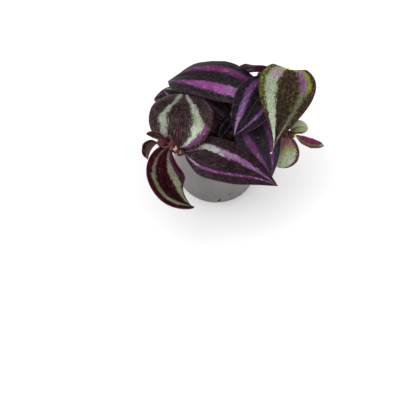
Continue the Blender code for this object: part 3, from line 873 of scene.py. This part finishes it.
def skin_patterns(tree):
    """Where a point lies on the blade, with its streaks, patches, blotches and cells."""
    share = add(tree, "SeparateXYZ", {0: add(tree, "UVMap", uv_map="share")}, out=None).outputs
    sized = add(tree, "UVMap", uv_map="millimetres")
    s = add(tree, "MapRange", {"Value": share[0], "To Min": -1, "To Max": 1})
    is_right = add(tree, "Math", {0: s, 1: 0.0}, operation="GREATER_THAN")
    u = add(tree, "Math", {0: s}, operation="ABSOLUTE")
    slim, blot = stretched(tree, sized, STREAK), stretched(tree, sized, BLOTCH)
    streak = add(tree, "TexNoise", {"Vector": slim, "Scale": 1.0, "Detail": 3, "Roughness": 0.6})
    patch = add(tree, "TexNoise", {"Vector": sized, "Scale": 1 / PATCH, "Detail": 4, "Roughness": 0.65})
    blotch = add(tree, "TexNoise", {"Vector": blot, "Scale": 1.0, "Detail": 5, "Roughness": 0.7})
    cells = add(tree, "TexVoronoi", {"Vector": sized, "Scale": 1 / CELL}, out=None).outputs
    # Three chance values for each cell
    dice = add(tree, "SeparateColor", {0: cells["Color"]}, out=None).outputs
    return Skin(share[1], s, u, is_right, streak, patch, blotch, dice, cells["Distance"])


print("what a skin holds:", ", ".join(Skin._fields))

# %% Bands
Band = namedtuple("Band", "outward half clean wander shift cover way colour")


def band_profile(tree, skin, look):
    """Where the band of this half is centred and half its width, kept in a ramp's red and green."""
    profiles = []
    for stops in (look.left, look.right):
        places = [(along, (centre, half, 0, 1)) for along, centre, half, _ in stops]
        ramp = add(tree, "ValToRGB", {"Fac": skin.t}, stops=places, out=None)
        ramp.color_ramp.interpolation = "CARDINAL"
        profiles.append(ramp.outputs["Color"])
    profile = add(
        tree, "Mix", {0: skin.is_right, 6: profiles[0], 7: profiles[1]}, out=2, data_type="RGBA"
    )
    parts = add(tree, "SeparateColor", {0: profile}, out=None).outputs
    return parts[0], parts[1]


def band_colour(tree, skin, look, way):
    """The band's colour along the leaf, with a painted highlight that whitens some streaks."""
    left, right = [
        add(tree, "ValToRGB", {"Fac": way}, stops=[(stop[0], stop[3]) for stop in stops])
        for stops in (look.left, look.right)
    ]
    colour = add(tree, "Mix", {0: skin.is_right, 6: left, 7: right}, out=2, data_type="RGBA")
    # Painted highlight: some streaks are mixed toward a pale pink-white
    glint = add(
        tree, "MapRange", {"Value": skin.streak, "From Min": 0.52, "From Max": 0.7, "To Max": look.glint}
    )
    by_dice = add(tree, "MapRange", {"Value": skin.dice[2], "To Min": 0.2, "To Max": 0.8})
    glint = add(tree, "Math", {0: glint, 1: by_dice}, operation="MULTIPLY")
    return add(tree, "Mix", {0: glint, 6: colour, 7: linear("#dfd3e0")}, out=2, data_type="RGBA")


def draw_band(tree, skin, look):
    """How much of a point the band covers, with edges broken by streaks, patches and single cells."""
    centre, half = band_profile(tree, skin, look)
    noises = {}
    for name, value, start, end, reach in (
        ("ragged", skin.streak, 0.25, 0.75, 0.1),
        ("wander", skin.patch, 0.25, 0.75, 0.07),
        ("by_cell", skin.dice[0], 0.0, 1.0, 0.035),
        ("mottle", skin.patch, 0.3, 0.7, 0.06),
    ):
        span = {"Value": value, "From Min": start, "From Max": end, "To Min": -reach, "To Max": reach}
        noises[name] = add(tree, "MapRange", span)
    shift = add(tree, "Math", {0: noises["ragged"], 1: noises["wander"]}, operation="ADD")
    shift = add(tree, "Math", {0: shift, 1: noises["by_cell"]}, operation="ADD")
    # A narrow band has a quieter edge, or the noise would tear it to pieces
    room = add(tree, "MapRange", {"Value": half, "From Max": 0.13, "To Min": 0.2, "To Max": 1})
    shift = add(tree, "Math", {0: shift, 1: room}, operation="MULTIPLY")
    outward = add(tree, "Math", {0: skin.u, 1: centre}, operation="SUBTRACT")
    off = add(tree, "Math", {0: outward}, operation="ABSOLUTE")
    clean = add(tree, "Math", {0: half, 1: off}, operation="SUBTRACT")
    inside = add(tree, "Math", {0: clean, 1: shift}, operation="SUBTRACT")
    cover = add(
        tree, "MapRange", {"Value": inside, "From Min": -0.02, "From Max": 0.03},
        interpolation_type="SMOOTHSTEP",
    )
    # One cell in five lets the ground show through
    hole = {"Value": skin.dice[1], "From Min": 0.78, "From Max": 0.82, "To Min": 1, "To Max": 0.45}
    cover = add(tree, "Math", {0: cover, 1: add(tree, "MapRange", hole)}, operation="MULTIPLY")
    way = add(tree, "Math", {0: skin.t, 1: noises["mottle"]}, operation="ADD")
    colour = band_colour(tree, skin, look, way)
    return Band(outward, half, clean, noises["wander"], shift, cover, way, colour)


print("what a band holds:", ", ".join(Band._fields))

# %% Layers on the ground
def where_all_show(tree, *masks):
    """A layer shows only as far as each of its masks lets it, so the masks are multiplied."""
    cover = masks[0]
    for mask in masks[1:]:
        cover = add(tree, "Math", {0: cover, 1: mask}, operation="MULTIPLY")
    return cover


def green_cells(tree, skin, look, band):
    """Green cells that gather beside the bands, most of all where the leaf is young."""
    near = add(tree, "MapRange", {"Value": band.clean, "From Min": -0.35, "From Max": 0, "To Min": 0.35})
    crowd = add(
        tree, "MapRange", {"Value": skin.blotch, "From Min": 0.45, "From Max": 0.6, "To Max": look.greenness}
    )
    young = {"Value": skin.t, "From Min": 0.3, "From Max": 0.8, "To Min": 1, "To Max": 0.35}
    crowd = where_all_show(tree, crowd, near, add(tree, "MapRange", young))
    chosen = add(tree, "Math", {0: crowd, 1: skin.dice[2]}, operation="SUBTRACT")
    return add(tree, "MapRange", {"Value": chosen, "From Min": 0.0, "From Max": 0.3})


def blush_streaks(tree, skin, look):
    """Brown streaks that fade away from the base, and from the margin."""
    reach = add(tree, "MapRange", {"Value": skin.t, "From Max": look.blush_end, "To Min": 0.85, "To Max": 0})
    if look.blush_margin:
        outer = {"Value": skin.u, "From Min": 0.6, "From Max": 0.9, "To Max": look.blush_margin}
        reach = add(tree, "Math", {0: reach, 1: add(tree, "MapRange", outer)}, operation="MAXIMUM")
    lines = add(tree, "MapRange", {"Value": skin.streak, "From Min": 0.44, "From Max": 0.62})
    return where_all_show(tree, lines, reach)


def margin_tint(tree, skin, look, band):
    """A tinted margin on the right half near the base, where the leaf is youngest."""
    torn = add(tree, "Math", {0: band.shift, 1: 2.5}, operation="MULTIPLY")
    outer = add(tree, "Math", {0: skin.u, 1: torn}, operation="ADD")
    tint = add(tree, "MapRange", {"Value": outer, "From Min": 0.74, "From Max": 0.92, "To Max": 0.8})
    fade = {"Value": skin.t, "From Min": look.tint_end - 0.2, "From Max": look.tint_end}
    fade = add(tree, "MapRange", {**fade, "To Min": 1, "To Max": 0})
    broken = {"Value": skin.blotch, "From Min": 0.42, "From Max": 0.55, "To Min": 0.35}
    return where_all_show(tree, tint, fade, skin.is_right, add(tree, "MapRange", broken))


tinted = [name for name, look in LOOKS.items() if look.tint_end]
print("looks with a tinted margin:", ", ".join(tinted))


# %% Fringe and fine lines
def fringe_strip(tree, skin, look, band):
    """A coloured strip along the outside of one band, as wide near the narrow base as further out."""
    edge = add(tree, "Math", {0: band.outward, 1: band.half}, operation="SUBTRACT")
    edge = add(tree, "Math", {0: edge, 1: band.wander}, operation="ADD")
    widen = {"Value": skin.t, "From Max": look.fringe_end, "To Min": 0.55, "To Max": 1}
    edge = add(tree, "Math", {0: edge, 1: add(tree, "MapRange", widen)}, operation="MULTIPLY")
    near_band = {"Value": edge, "From Min": look.fringe_wide, "From Max": look.fringe_wide - 0.05}
    beyond = add(tree, "Math", {0: band.outward, 1: 0.0}, operation="GREATER_THAN")
    side = add(tree, "Math", {0: skin.s, 1: look.fringe_side}, operation="MULTIPLY")
    on_side = add(tree, "Math", {0: side, 1: 0.0}, operation="GREATER_THAN")
    fade = {"Value": band.way, "From Min": look.fringe_end, "From Max": look.fringe_end - 0.1}
    near_band, fade = add(tree, "MapRange", near_band), add(tree, "MapRange", fade)
    return where_all_show(tree, near_band, beyond, on_side, fade)


def midrib_line(tree, skin, look):
    """A line along the midrib, which fades towards the tip."""
    rib = {"Value": skin.u, "From Min": 0.01, "From Max": 0.04, "To Min": look.crease_strength, "To Max": 0}
    fade = {"Value": skin.t, "From Min": look.crease_end - 0.15, "From Max": look.crease_end}
    fade = add(tree, "MapRange", {**fade, "To Min": 1, "To Max": 0})
    return where_all_show(tree, add(tree, "MapRange", rib), fade)


fringed = [name for name, look in LOOKS.items() if look.fringe_side]
print("looks with a fringe:", ", ".join(fringed))


# %% The whole skin
def lay_over(tree, colour, layers):
    """Lays each layer over what is there: how much of a point it covers, and its colour."""
    for cover, paint in layers:
        colour = add(tree, "Mix", {0: cover, 6: colour, 7: paint}, out=2, data_type="RGBA")
    return colour


def leaf_finish(name, look):
    """The upper skin of a leaf, layer over layer."""
    tree, shader, material = new_finish(name, IOR=1.45, Specular_IOR_Level=0.04)
    skin = skin_patterns(tree)
    band = draw_band(tree, skin, look)
    between = add(tree, "MapRange", {"Value": skin.patch, "From Min": 0.35, "From Max": 0.65})
    layers = [
        (between, linear(look.patch)), (green_cells(tree, skin, look, band), linear(look.green)),
        (blush_streaks(tree, skin, look), linear(look.blush)),
    ]
    if look.tint_end:
        layers.append((margin_tint(tree, skin, look, band), linear(look.tint)))
    colour = lay_over(tree, linear(look.dark), layers)

    # The ground's cells are of uneven tone, and a few are lightened as painted highlights where cells catch
    # the light
    speckle = add(tree, "MapRange", {"Value": skin.dice[0], "To Min": 0.45, "To Max": 1.6})
    colour = add(tree, "VectorMath", {0: colour, 3: speckle}, operation="SCALE")
    painted_sparkle = {"Value": skin.dice[1], "From Min": 0.95, "From Max": 0.98, "To Max": 0.12}
    layers = [(add(tree, "MapRange", painted_sparkle), linear("#8d8389"))]
    if look.fringe_side:
        layers.append((fringe_strip(tree, skin, look, band), linear(look.fringe)))
    rim = {"Value": skin.u, "From Min": 0.94, "From Max": 0.985, "To Max": 0.85}
    layers += [
        (band.cover, band.colour), (midrib_line(tree, skin, look), linear(look.crease)),
        (add(tree, "MapRange", rim), linear(look.edge)),
    ]
    colour = lay_over(tree, colour, layers)

    # Cells and streaks differ in tone and gloss, and stand up a little
    by_cell = add(tree, "MapRange", {"Value": skin.dice[1], "To Min": 0.8, "To Max": 1.2})
    by_streak = {"Value": skin.streak, "From Min": 0.3, "From Max": 0.7, "To Min": 0.72, "To Max": 1.2}
    tone = add(tree, "Math", {0: by_cell, 1: add(tree, "MapRange", by_streak)}, operation="MULTIPLY")
    colour = add(tree, "VectorMath", {0: colour, 3: tone}, operation="SCALE")
    gloss = add(tree, "MapRange", {"Value": skin.dice[1], "To Min": 0.36, "To Max": 0.5})
    height = add(tree, "Math", {0: skin.domes, 1: skin.streak}, operation="ADD")
    bump = add(tree, "Bump", {"Height": height, "Strength": 0.45, "Distance": FINE_RELIEF})
    connect(tree, shader, Base_Color=colour, Roughness=gloss, Normal=bump)
    return material


leaf_skins = {name: leaf_finish("waxy_leaf_" + name, look) for name, look in LOOKS.items()}
print("leaf finishes:", len(leaf_skins))

# %% [markdown]
# ## Undersides and sleeves
#
# The underside is crimson with fine lengthwise streaks, and a sleeve, the part of the leaf that clasps the
# stem, is a thin streaked skin. Both are one noise, stretched along the leaf, read through three colours.

# %% Streaked finishes
def streaked_finish(name, streak_size, colours, **sockets):
    """A skin with streaks along the leaf, which show in colour and in relief."""
    tree, shader, material = new_finish(name, IOR=1.45, **sockets)
    place = stretched(tree, add(tree, "UVMap", uv_map="millimetres"), streak_size)
    streak = add(tree, "TexNoise", {"Vector": place, "Scale": 1.0, "Detail": 3})
    bump = add(tree, "Bump", {"Height": streak, "Strength": 0.3, "Distance": FINE_RELIEF})
    connect(tree, shader, Base_Color=add(tree, "ValToRGB", {"Fac": streak}, stops=colours), Normal=bump)
    return material


crimson_underside = streaked_finish(
    "crimson_leaf_underside", (0.6, 6), [(0.3, "#3a0f22"), (0.55, "#5e1a38"), (0.75, "#7a2c4e")],
    Roughness=0.45,
)
sheath_skin = streaked_finish(
    "striped_sheath_skin", (0.5, 6), [(0.35, "#3a0c16"), (0.55, "#5a1c28"), (0.72, "#7d5a48")],
    Roughness=0.4, Specular_IOR_Level=0.3,
)
print("finishes:", crimson_underside.name, sheath_skin.name)

# %% [markdown]
# ## Growing the blades
#
# A grid is the flat pattern of a blade: its rows run from base to tip and its columns across. Each point is
# then moved to where the leaf's numbers put it, with a groove along the midrib, fine parallel veins and a
# slow unevenness. Solidify gives the blade its thickness and puts the crimson finish on the underside.

# %% What all blades share
# Millimetres, except for the number of veins on each half: a blade's thickness, its veins and its groove
BLADE = 0.45
VEINS, VEIN_HEIGHT = 5, 0.05
GROOVE_DEPTH, GROOVE_WIDTH = 0.22, 0.7
# Slow unevenness: its height, and its size across and along the blade
SWELL_HEIGHT, SWELL_ACROSS, SWELL_ALONG = 0.45, 7, 9
# A wider leaf than this gets the fine grid: rows along the blade, and columns across
WIDE_LEAF = 12
FINE_GRID, COARSE_GRID = (90, 48), (48, 24)
# Keeps the leaves apart on the patterns, so that no two are alike
MAP_STEP = 40
# Millimetres: a sleeve's radius at its foot, and how far under the leaf's place on the stem that is
SLEEVE_FOOT, SLEEVE_BELOW = 1.42, 1.0
# A sleeve's length and its mouth's radius, and the two leaves where they are larger
USUAL_SLEEVE = (3.2, 1.85)
SLEEVES = {"leaf_hanging": (5.2, 3.2), "leaf_young_left": (3.6, 2.2)}
LEAF_LOOKS = {
    "leaf_crown": "crown", "leaf_dome": "dome", "leaf_heart": "heart", "leaf_pointed": "pointed",
    "leaf_front": "front", "leaf_hanging": "hanging", "leaf_young_left": "bud", "leaf_tip_left": "bud",
    "leaf_under_crown": "under", "leaf_inner": "painted_shade", "leaf_below_dome": "painted_shade",
    "leaf_below_pointed": "below", "leaf_short_right": "short", "leaf_round_right": "round",
    "leaf_boat_right": "boat",
}


def relief(leaf, t, s, seed):
    """How far a point stands up from the smooth blade, in millimetres."""
    away = s * half_width(leaf, t)
    groove = -GROOVE_DEPTH * math.exp(-((away / GROOVE_WIDTH) ** 2)) * min(1, 6 * t) * (1 - t) ** 0.5
    veins = VEIN_HEIGHT * math.cos(math.tau * VEINS * s) * math.sin(math.pi * t) * min(1, leaf.width / 20)
    place = Vector((away / SWELL_ACROSS, t * leaf.length / SWELL_ALONG, seed))
    return groove + veins + noise.noise(place) * SWELL_HEIGHT * abs(s)


print("leaves with a look of their own:", len(LEAF_LOOKS))


# %% Sleeves
SLEEVE_SIDES = 40
# The places of a blade's finishes in its list
UPPER, UNDER, SHEATH = 0, 1, 2


def sleeve_size(leaf_name):
    """How long a sleeve is and its mouth's radius, in millimetres."""
    return SLEEVES.get(leaf_name, USUAL_SLEEVE)


def sleeve_place(leaf_name):
    """Turns a sleeve that stands on the ground to where it clasps its stem."""
    leaf = LEAVES[leaf_name]
    turn = stem_direction(leaf).to_track_quat("Z", "Y").to_matrix().to_4x4()
    return Matrix.Translation(Vector(STEMS[leaf.stem][leaf.point]) * MM) @ turn


def is_side_leaf(leaf):
    """A side leaf clasps its stem with a sleeve. The last leaf grows from the stem's end."""
    return leaf.point < len(STEMS[leaf.stem]) - 1


def add_sleeve(shape, leaf_name, shares, sizes):
    """The thin sleeve round the stem, from just under the node up to a mouth that opens a little."""
    length, mouth = sleeve_size(leaf_name)
    made = bmesh.ops.create_cone(
        shape, cap_ends=False, segments=SLEEVE_SIDES, radius1=SLEEVE_FOOT * MM, radius2=mouth * MM,
        depth=length * MM,
    )
    for face in {face for vert in made["verts"] for face in vert.link_faces}:
        face.material_index = SHEATH
        for loop in face.loops:
            x, y, z = loop.vert.co
            loop[shares].uv = (0.5, 0)
            loop[sizes].uv = (math.atan2(y, x) * mouth, z / MM)
    lift = Matrix.Translation((0, 0, (length / 2 - SLEEVE_BELOW) * MM))
    bmesh.ops.transform(shape, matrix=sleeve_place(leaf_name) @ lift, verts=made["verts"])


print("sleeves:", sum(is_side_leaf(leaf) for leaf in LEAVES.values()))


# %% Grow the blades
def grow_blade(leaf_name, seed):
    """One blade from a grid, with its map in shares and in millimetres, and its sleeve."""
    leaf = LEAVES[leaf_name]
    rows, columns = FINE_GRID if leaf.width > WIDE_LEAF else COARSE_GRID
    shape = bmesh.new()
    bmesh.ops.create_grid(shape, x_segments=rows, y_segments=columns, size=0.5)
    bmesh.ops.reverse_faces(shape, faces=shape.faces)
    shares, sizes = shape.loops.layers.uv.new("share"), shape.loops.layers.uv.new("millimetres")
    flat = {vert: (min(1, max(0, vert.co.x + 0.5)), 2 * vert.co.y) for vert in shape.verts}
    for face in shape.faces:
        for loop in face.loops:
            t, s = flat[loop.vert]
            loop[shares].uv = ((s + 1) / 2, t)
            loop[sizes].uv = (s * half_width(leaf, t) + MAP_STEP * seed, t * leaf.length)
    middle = midrib(leaf, rows)
    for vert, (t, s) in flat.items():
        vert.co = blade_point(leaf, middle[round(t * rows)], t, s, relief(leaf, t, s, seed)) * MM
    if is_side_leaf(leaf):
        add_sleeve(shape, leaf_name, shares, sizes)
    look = LEAF_LOOKS.get(leaf_name, "plain")
    skins = [leaf_skins[look], crimson_underside, sheath_skin]
    blade = piece(leaf_name.replace("leaf_", "blade_"), shape, skins, leaf_name)
    thick = blade.modifiers.new("thickness", "SOLIDIFY")
    thick.thickness = BLADE * MM
    thick.offset = 0
    thick.material_offset = UNDER - UPPER
    thick.material_offset_rim = UNDER - UPPER
    return blade


blades = [grow_blade(leaf_name, number) for number, leaf_name in enumerate(LEAVES)]
print("blades:", len(blades))

# %% [markdown]
# ## Hairs and grit
#
# The mouth of every sleeve carries a fringe of fine hairs, a mark by which this kind of plant is known. Each
# is a thin cone standing on the rim. A few grains of grit lie on the blades, where watering splashed them.

# %% Hairs at the sleeves' mouths
# Millimetres and degrees. The tip is a share of the radius, the middle stands this share of the length above
# the rim, and the places round the rim are uneven by up to this share of a step
HAIRS = 16
HAIR_LENGTH, HAIR_RADIUS, HAIR_LEAN = 1.3, 0.035, (5, 40)
HAIR_TIP, HAIR_MIDDLE, HAIR_UNEVEN = 0.2, 0.45, 0.6
tree, shader, silky_hair = new_finish("silky_hair", Base_Color=linear("#cfc4b8"), Roughness=0.5)
hair_shape = bmesh.new()
for leaf_name, leaf in LEAVES.items():
    if not is_side_leaf(leaf):
        continue
    length, mouth = sleeve_size(leaf_name)
    for number in range(HAIRS):
        made = bmesh.ops.create_cone(
            hair_shape, cap_ends=True, segments=5, radius1=HAIR_RADIUS * MM,
            radius2=HAIR_TIP * HAIR_RADIUS * MM, depth=HAIR_LENGTH * MM,
        )
        lean = Matrix.Rotation(math.radians(chance.uniform(*HAIR_LEAN)), 4, "Y")
        rise = Matrix.Translation((mouth * MM, 0, (length - SLEEVE_BELOW) * MM))
        around = Matrix.Rotation(math.tau * (number + HAIR_UNEVEN * chance.random()) / HAIRS, 4, "Z")
        base = Matrix.Translation((0, 0, HAIR_MIDDLE * HAIR_LENGTH * MM))
        stand = sleeve_place(leaf_name) @ around @ rise @ lean @ base
        bmesh.ops.transform(hair_shape, matrix=stand, verts=made["verts"])
hairs = piece("sheath_hairs", hair_shape, [silky_hair])
print("hair faces:", len(hairs.data.polygons))

# %% Grit on the blades
# Leaf, share of its length, share of its half-width and size in millimetres
BLADE_GRIT = [
    ("leaf_below_pointed", 0.4, 0.05, 0.3), ("leaf_below_pointed", 0.68, -0.38, 0.7),
    ("leaf_below_pointed", 0.6, 0.77, 0.35), ("leaf_front", 0.58, -0.05, 0.18),
    ("leaf_front", 0.3, 0.4, 0.15), ("leaf_front", 0.2, -0.5, 0.15),
    ("leaf_hanging", 0.55, -0.2, 0.16), ("leaf_dome", 0.2, 0.85, 0.2),
]
# A grain's length, width and height as shares of its size, and the steps that its place is counted in
GRAIN_FORM = (1.4, 1, 0.7)
PLACES = 100
grit_shape = bmesh.new()
for leaf_name, t, s, size in BLADE_GRIT:
    leaf = LEAVES[leaf_name]
    made = bmesh.ops.create_icosphere(grit_shape, subdivisions=1, radius=size * MM)
    spot = blade_point(leaf, midrib(leaf, PLACES)[round(PLACES * t)], t, s, (BLADE + size) / 2)
    turn = Matrix.Rotation(chance.uniform(0, math.tau), 4, Vector((chance.random(), 1, chance.random())))
    place = Matrix.Translation(spot * MM) @ turn @ Matrix.Diagonal((*GRAIN_FORM, 1))
    bmesh.ops.transform(grit_shape, matrix=place, verts=made["verts"])
piece("blade_grit", grit_shape, [grit], smooth=False)
print("grains of grit:", len(BLADE_GRIT))
